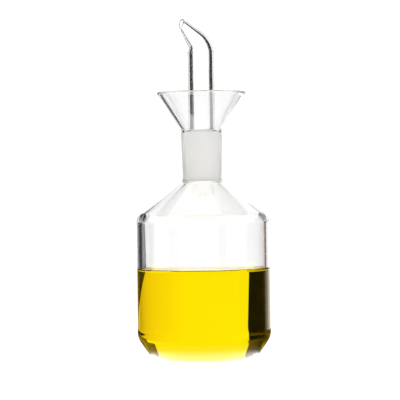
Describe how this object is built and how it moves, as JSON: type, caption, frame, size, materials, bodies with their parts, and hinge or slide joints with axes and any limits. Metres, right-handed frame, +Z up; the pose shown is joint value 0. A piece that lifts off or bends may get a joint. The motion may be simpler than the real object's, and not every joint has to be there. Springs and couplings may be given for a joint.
{
  "type": "oil cruet",
  "caption": "Clear glass oil cruet: cylindrical bottle with sloping shoulder, ground neck and funnel mouth, a bent pouring spout set in the neck, part filled with yellow oil.",
  "frame": {"origin": "centre of the flat underside, on the bottle's axis", "axes": "+Z up along the bottle's axis; +X to the right and +Y away from the viewer in the reference view; the spout bends towards -X, turned 32 degrees towards -Y"},
  "size_m": [0.08, 0.08, 0.205],
  "materials": {
    "bottle_glass": "clear polished glass, ground to a white frost inside the neck",
    "spout_glass": "clear polished glass, ground to a white frost on the plug",
    "oil": "clear yellow oil with a wet, level surface"
  },
  "bodies": {
    "root": {"bottle": "bottle_glass", "spout": "spout_glass", "oil": "oil"}
  },
  "joints": []
}
